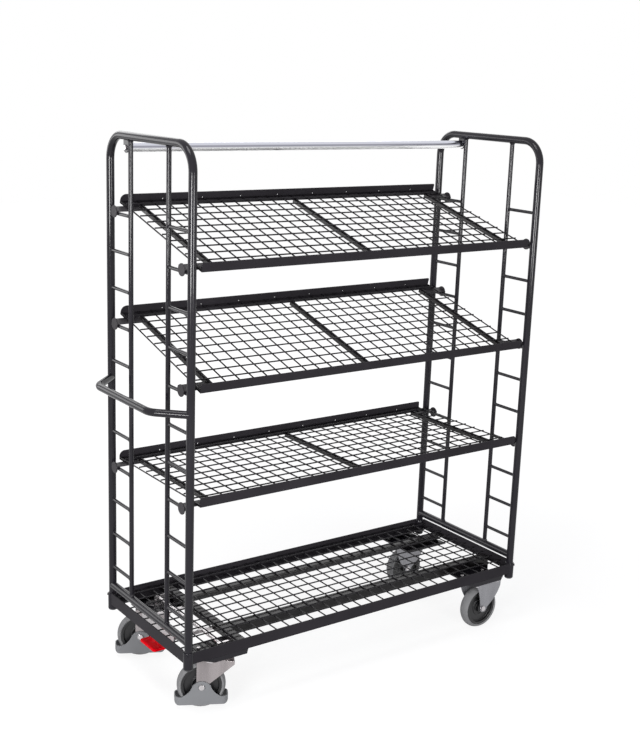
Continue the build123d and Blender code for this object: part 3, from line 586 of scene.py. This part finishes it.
# %% Lower tubes and tie bar
def cut_stations(radius, end_radius, rounded, straight):
    """A cut rod: its ends are rounded over one length, and a ring further in keeps its sides straight."""
    return [(0.0, end_radius), (rounded, radius), (straight, radius),
            (-straight, radius), (-rounded, radius), (-0.0, end_radius)]


LOWER_INSET, TIE_EDGE, TIE_RING = 0.004, 0.001, 0.004
starts, ends = [[(x, y, lower_z) for x in (-half_l, half_l)] for y in (-half_d, half_d)]
lower_stations = [(LOWER_INSET, post_r), (-LOWER_INSET, post_r)]
piece("lower_tubes_round", *rods(starts, ends, lower_stations, TUBE_SIDES), "lower_tubes", anthracite)

tie_r, tie_y = np.ptp(tie_bar[:, 2]) / 2, tie_bar[:, 1].mean()
tie_start, tie_end = (-half_l, tie_y, tie_z), (half_l, tie_y, tie_z)
tie_stations = cut_stations(tie_r, tie_r - TIE_EDGE, TIE_EDGE, TIE_RING)
piece("tie_bar_round", *rods([tie_start], [tie_end], tie_stations, TUBE_SIDES), "tie_bar", tie_zinc_painted_reflection)
print("lower tubes:", len(starts), "tie bar at", round(tie_y, 5), "radius", round(tie_r, 5))

# %% [markdown]
# ## Wire mesh
# The deck and the shelves are welded meshes: cross wires below, 51.5 mm apart, and eleven long wires
# on top. A Wireframe modifier on a grid would run all of them through one plane, so each wire is a rod
# of its own, and its cut ends are slightly rounded. The deck comes first. Its foremost wire is shorter
# than the rest, because it ends between the sockets of the posts.


# %% Wires of the deck
PITCH, ROW_PITCH, ROWS_A_SIDE, WIRE_SIDES = 0.0515, 0.0509, 5, 12
deck = box_of("deck_mesh")
wire_r = np.ptp(deck[:, 2]) / 4
wire_stations = cut_stations(wire_r, 0.72 * wire_r, 0.3 * wire_r, 1.2 * wire_r)


def mesh_lines(steps_x, extra_x, end_x, shift_y, end_y, base):
    """Start and end points of a mesh's wires, cross wires first. Cross wires lie a radius over the base,
    at whole steps of the pitch and at extra places; long wires lie one diameter higher, in even rows."""
    xs = np.concatenate([np.arange(-steps_x, steps_x + 1) * PITCH, extra_x])
    ys = np.arange(-ROWS_A_SIDE, ROWS_A_SIDE + 1) * ROW_PITCH + shift_y
    low, high = np.full_like(xs, base + wire_r), np.full_like(ys, base + 3 * wire_r)
    starts = np.concatenate([np.stack([xs, np.full_like(xs, -end_y), low], 1),
                             np.stack([np.full_like(ys, -end_x), ys, high], 1)])
    ends = np.concatenate([np.stack([xs, np.full_like(xs, end_y), low], 1),
                           np.stack([np.full_like(ys, end_x), ys, high], 1)])
    return starts, ends


DECK_STEPS, DECK_SHIFT, BETWEEN_SOCKETS = 13, -0.009, 0.697
starts, ends = mesh_lines(DECK_STEPS, [], deck[1, 0], DECK_SHIFT, deck[1, 1], deck[0, 2])
foremost = 2 * DECK_STEPS + 1
starts[foremost, 0], ends[foremost, 0] = -BETWEEN_SOCKETS, BETWEEN_SOCKETS
deck_wires = rods(starts, ends, wire_stations, WIRE_SIDES)
piece("deck_mesh_wires", *deck_wires, "deck_mesh", wire_coat)
print("wires in the deck:", len(starts), "radius", round(wire_r, 5), "ends", deck[1, :2].tolist())

# %% [markdown]
# ## Shelf wires
# A shelf hangs with four hooks on the rungs of the end frames. The two upper shelves hang their front
# hooks one rung lower, so they tilt to the front. Their meshes could be made flat and turned as
# objects, but a finished piece keeps its place in its mesh, so the points themselves are turned.


# %% Wires of the shelves
SHELF_RUNGS = {1: (1, 2), 2: (4, 5), 3: (8, 8)}
HOOK_HALF_W, SEAT_GAP = 0.020, 0.0003
hook_y = box_of("shelf_3_hooks")[1, 1] - HOOK_HALF_W


def on_shelf(points, rear_rung, front_rung):
    """Turn a flat shelf about X, and lift it, so that its hooks lie on their rungs, counted from the top.
    The sine of the turn is the step between the rungs over the distance between the hooks."""
    rear_top, front_top = rung_z[-rear_rung] + rung_r, rung_z[-front_rung] + rung_r
    tilt = math.asin((rear_top - front_top) / (2 * hook_y))
    rise = rear_top + SEAT_GAP - (hook_y - HOOK_HALF_W) * math.sin(tilt)
    x, y, z = np.asarray(points).T
    return np.stack([x, y * math.cos(tilt) - z * math.sin(tilt),
                     y * math.sin(tilt) + z * math.cos(tilt) + rise], 1)


SHELF_STEPS, SHELF_END, SHELF_SHIFT, SHELF_BASE = 12, 0.676, -0.013, 0.007
shelf_y = box_of("shelf_3_mesh")[1, 1]
end_wires = [-SHELF_END, SHELF_END]
starts, ends = mesh_lines(SHELF_STEPS, end_wires, SHELF_END, SHELF_SHIFT, shelf_y, SHELF_BASE)
for number, held_by in SHELF_RUNGS.items():
    shelf_wires = rods(on_shelf(starts, *held_by), on_shelf(ends, *held_by), wire_stations, WIRE_SIDES)
    piece(f"shelf_{number}_mesh_wires", *shelf_wires, f"shelf_{number}_mesh", wire_coat)
print("wires in a shelf:", len(starts), "hooks at", round(hook_y, 5), "ends at", round(shelf_y, 5))

# %% [markdown]
# ## Wheels
# A tyre and a hub are turned shapes. A Screw modifier could spin an edge, but here a closed outline of
# radius and width is carried round the axle, once for each wheel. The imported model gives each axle's
# place and direction as the joint on which the wheel rolls. The tyre's tread is crowned, and the hub
# has the moulded ring seen in its face.


# %% Outlines of tyre and hub
def both_sides(half):
    """Close an outline whose first half runs from bore to tread: the second half is its mirror image."""
    half = np.asarray(half, float)
    return np.concatenate([half, half[::-1] * [1, -1]])


RIM_R, RIM_HALF_W = 0.0680, 0.0170
SHOULDER_R, CROWN, TYRE_HALF_W = 0.0740, 0.0080, 0.0200
t = np.linspace(0, 1, 9)[:-1]
crown_w = TYRE_HALF_W * np.cos(t * math.pi / 2)
tread = np.stack([SHOULDER_R + CROWN * (1 - (crown_w / TYRE_HALF_W) ** 2), -crown_w], 1)
side_wall = [(RIM_R, -RIM_HALF_W), (0.0689, -0.0183), (0.0702, -0.0195), (0.0716, -TYRE_HALF_W),
             (0.0732, -TYRE_HALF_W)]
tyre_outline = both_sides(np.concatenate([side_wall, tread]))

BOSS_END, WEB_HALF_W, RING_HALF_W = 0.0227, 0.0080, 0.0110
boss = [(0.00605, -BOSS_END), (0.0120, -BOSS_END), (0.0182, -0.0225), (0.0190, -0.0215), (0.0196, -0.0090)]
web_in = [(0.0204, -WEB_HALF_W), (0.0258, -WEB_HALF_W)]
ring = [(0.0264, -0.0084), (0.0272, -0.0106), (0.0280, -RING_HALF_W), (0.0320, -RING_HALF_W),
        (0.0328, -0.0106), (0.0336, -0.0084)]
web_out = [(0.0342, -WEB_HALF_W), (0.0570, -WEB_HALF_W)]
rim = [(0.0580, -0.0086), (0.0592, -0.0164), (0.0602, -RIM_HALF_W), (RIM_R, -RIM_HALF_W)]
hub_outline = both_sides(boss + web_in + ring + web_out + rim)
print("wheel radius:", round(tyre_outline[:, 0].max(), 4))


# %% Wheels
def turned(outline, centre, axle, steps=112):
    """Carry a closed outline of (radius, width) round a level axle. A point is the centre, plus the radius
    times the cosine of an angle ahead and its sine upwards, plus the width along the axle."""
    r, w = np.asarray(outline, float).T
    a = np.linspace(0, 2 * math.pi, steps, endpoint=False)[:, None]
    axle, upwards = np.asarray(axle, float), np.array([0.0, 0.0, 1.0])
    ahead = np.cross(axle, upwards)
    rings = (np.asarray(centre) + (r * np.cos(a))[:, :, None] * ahead
             + (r * np.sin(a))[:, :, None] * upwards + (w * np.ones_like(a))[:, :, None] * axle)
    return rings.reshape(-1, 3), grid_faces(steps, len(outline), True).tolist()


WHEELS = ("fixed_front", "swivel_front", "fixed_rear", "swivel_rear")
HUB_ANGLE = 28.0
joint_of = {joint["name"]: joint for joint in frame["joints"]}
for name in WHEELS:
    roll = joint_of[f"{name}_roll"]
    tyre, hub = [turned(outline, roll["pos_m"], roll["axis"]) for outline in (tyre_outline, hub_outline)]
    piece(f"{name}_tyre_tread", *tyre, f"{name}_tyre", tyre_rubber)
    piece(f"{name}_hub_rings", *hub, f"{name}_hub", hub_nylon, HUB_ANGLE)
    print(name, "wheel at", roll["pos_m"])

# %% [markdown]
# ## Sockets and their feet
# The posts stand in short sockets welded into the corners, with a domed cap under each. A cylinder and
# a half ball would leave a hard seam, so both are turned about the post: an outline of radius and
# height is carried round it, at all four corners in one piece.


# %% Sockets and caps
def upright_turned(outline, centres, steps=48):
    """Carry an open outline of (radius, height) round several upright axes. A point is the radius times
    the cosine and the sine of an angle from the axis, at its height. Flat caps close the ends."""
    r, z = np.asarray(outline, float).T
    a = np.linspace(0, 2 * math.pi, steps, endpoint=False)
    heights = np.repeat(z[:, None], steps, 1)
    rings = np.stack([np.outer(r, np.cos(a)), np.outer(r, np.sin(a)), heights], -1)
    points = np.concatenate([(rings + [x, y, 0.0]).reshape(-1, 3) for x, y in centres])
    return points, stacked_faces(len(centres), len(r), steps)


SOCKET_GAP = 0.0002
corners = [(sx * half_l, sy * half_d) for sx in (-1, 1) for sy in (-1, 1)]
sockets = box_of("corner_sockets")
socket_r, bore_r = sockets[1, 0] - half_l, post_r + SOCKET_GAP
socket_z, rail_top = sockets[:, 2]
socket_wall = [(socket_r - 0.00085, socket_z), (socket_r, socket_z + 0.0008),
               (socket_r, rail_top - 0.0016), (socket_r - 0.00065, rail_top - 0.0004),
               (socket_r - 0.00165, rail_top), (bore_r, rail_top)]
piece("corner_socket_walls", *upright_turned(socket_wall, corners), "corner_sockets", anthracite)

DOME_R, DOME_INSET, FOOT_R, PLUG_RISE = 0.0076, 0.00005, 0.0040, 0.0005
cap_z = box_of("socket_caps")[0, 2]
q = np.linspace(0, math.pi / 2, 8)
dome = np.stack([socket_r - DOME_INSET - DOME_R * (1 - np.sin(q)), cap_z + DOME_R * (1 - np.cos(q))], 1)
plug = [(socket_r, socket_z), (bore_r, socket_z + PLUG_RISE), (bore_r, foot_z)]
cap_outline = np.concatenate([[(FOOT_R, cap_z)], dome, plug])
piece("socket_cap_domes", *upright_turned(cap_outline, corners), "socket_caps", cap_black)
print("sockets:", len(corners), "radius", round(socket_r, 5), "from", socket_z, "to", rail_top)

# %% [markdown]
# ## Softened sheet metal and mouldings
# Rails, lips, hooks, forks, plates and guards already have the right shape, but cut metal and moulded
# plastic never have a razor edge. A Bevel modifier on the loose triangles of the solid would split
# them. So a merged copy has its flat triangles joined and its sharp edges rolled over, and weighted
# normals keep the flats flat.


# %% Softened edges
MERGE_DIST, FLAT_ANGLE, SHARP_ANGLE, SHADE_ANGLE = 2e-6, math.radians(0.6), math.radians(45), 40


def softened(node, width, finish):
    """A copy of a node with its edges rolled over by width, standing for the node."""
    shape = bmesh.new()
    shape.from_mesh(nodes[node].data)
    bmesh.ops.remove_doubles(shape, verts=shape.verts, dist=MERGE_DIST)
    bmesh.ops.dissolve_limit(shape, angle_limit=FLAT_ANGLE, verts=shape.verts, edges=shape.edges)
    sharp = [e for e in shape.edges if len(e.link_faces) == 2 and e.calc_face_angle(0.0) > SHARP_ANGLE]
    bmesh.ops.bevel(shape, geom=sharp, offset=width, offset_type="OFFSET", segments=2, profile=0.5,
                    affect="EDGES", clamp_overlap=True)
    mesh = bpy.data.meshes.new(f"{node}_edged")
    shape.to_mesh(mesh)
    shape.free()
    obj = dressed(f"{node}_edged", mesh, node, finish, SHADE_ANGLE)
    weighted = obj.modifiers.new("flat_faces", "WEIGHTED_NORMAL")
    weighted.keep_sharp = True
    return obj


edge_of = {f"{side}_rail": 0.0012 for side in ("front", "rear", "left", "right")}
edge_of |= {"deck_channels": 0.0009, "deck_cross_member": 0.0009, "caster_mount_plates": 0.0010,
            "tie_bar_brackets": 0.0008, "tie_bar_bolts": 0.0012, "caster_bolts": 0.0006,
            "fixed_axles": 0.0012, "brake_levers": 0.0008, "brake_pedal": 0.0010}
for end in ("front", "rear"):
    edge_of |= {f"fixed_{end}_bracket": 0.0008, f"swivel_{end}_head": 0.0008, f"swivel_{end}_fork": 0.0008,
                f"swivel_{end}_guard": 0.0009, f"swivel_{end}_axle": 0.0012}
for number in SHELF_RUNGS:
    edge_of |= {f"shelf_{number}_lips": 0.0008, f"shelf_{number}_hooks": 0.0010,
                f"shelf_{number}_cross_members": 0.0006}
finish_by_end = {("_rail", "_lips"): sheet_coat, ("_hooks",): hook_coat, ("_bracket",): bracket_zinc,
                 ("_head", "_axle", "_axles", "_levers", "_bolts"): head_zinc_painted_highlight,
                 ("_channels", "_cross_member", "_cross_members"): deck_coat}
for node, width in edge_of.items():
    own = [finish for ends, finish in finish_by_end.items() if node.endswith(ends)]
    softened(node, width, own[0] if own else finish_of[slot_of[node]])
print("softened nodes:", len(edge_of))

# %% [markdown]
# ## Floor and sky
# The trolley stands on a plain white floor that runs out of sight into a white sky. Lit up until it is
# white, a floor would throw its light back at the trolley. So floor and sky are white only to the eye,
# straight, in shiny pieces and through clear ones, and a dim grey for all other light. The floor's
# white is a little lower round the trolley, so that its soft shadow shows.


# %% Floor and sky
def seen(finish):
    """1 for the eye, straight, in shiny pieces or through clear ones; 0 for light that falls on things."""
    straight, shiny, clear = [finish.node("ShaderNodeLightPath", output=f"Is {kind} Ray")
                              for kind in ("Camera", "Glossy", "Transmission")]
    return straight + shiny + clear


def grey(level):
    """A grey of one level."""
    return tint((level, level, level))


FLOOR_HALF, NEAR, FAR = 14, 1.2, 3.6
floor_mesh = bpy.data.meshes.new("floor")
corners = [(sx * FLOOR_HALF, sy * FLOOR_HALF, 0) for sx, sy in ((-1, -1), (1, -1), (1, 1), (-1, 1))]
floor_mesh.from_pydata(corners, [], [(0, 1, 2, 3)])
floor = placed("floor", floor_mesh)
white_floor = material("floor_white")
reach = white_floor.node("ShaderNodeVectorMath", {"operation": "LENGTH"}, {0: white_floor.place()},
                         output="Value")
white = white_floor.mix(white_floor.ramp(reach, NEAR, FAR), grey(0.85), grey(0.96))
glow = white_floor.mix(seen(white_floor), grey(0.0), white)
white_floor.finish(Base_Color=grey(0.25), Roughness=0.9, Specular_IOR_Level=0.0,
                   Emission_Color=glow, Emission_Strength=1.0)
floor_mesh.materials.append(white_floor.owner)

bpy.context.scene.world = bpy.data.worlds.new("sky")
sky = Finish(bpy.context.scene.world, "Background")
sky.finish(Color=sky.mix(seen(sky), tint((0.18, 0.18, 0.20)), grey(1.0)))
print("floor:", 2 * FLOOR_HALF, "m wide")

# %% [markdown]
# ## Lamps
# The posts in the photograph carry two bright streaks, which are two soft panels mirrored in round
# tube. A sky picture could give them too, but panels are easier to place: two low ones stand in front,
# left and right of the camera. A high one lights the tops, a wide one behind lights the far edges, and
# one at the side lifts the handle end.


# %% Lamps
def softbox(name, at, to, width, height, watts):
    """A rectangular soft lamp at one place that faces another."""
    lamp = placed(name, bpy.data.lights.new(name, "AREA"))
    lamp.data.shape = "RECTANGLE"
    lamp.data.size = width
    lamp.data.size_y = height
    lamp.data.energy = watts
    lamp.location = at
    lamp.rotation_mode = "QUATERNION"
    lamp.rotation_quaternion = (Vector(to) - lamp.location).to_track_quat("-Z", "Y")
    return lamp


FRONT_REACH, FRONT_Z = 4.7, 1.2
lamps = []
for name, swing, watts in (("left", -24.5, 136.0), ("right", 31.5, 90.0)):
    bearing = AZIMUTH + math.radians(swing)
    front = (FRONT_REACH * math.sin(bearing), -FRONT_REACH * math.cos(bearing), FRONT_Z)
    lamps.append(softbox(name, front, (0, 0, FRONT_Z), width=1.5, height=0.8, watts=watts))
lamps.append(softbox("high", (-1.6, -0.6, 4.6), (-0.2, 0, 1.0), width=1.6, height=1.6, watts=70.0))
lamps.append(softbox("behind", (1.6, 5.4, 4.2), (0.0, 0, 1.0), width=6.4, height=1.6, watts=70.0))
lamps.append(softbox("side", (-3.6, 4.5, 2.0), (-0.4, 0, 1.3), width=2.2, height=2.4, watts=50.0))
bpy.context.scene.view_settings.view_transform = "Standard"
print("lamps:", len(lamps))
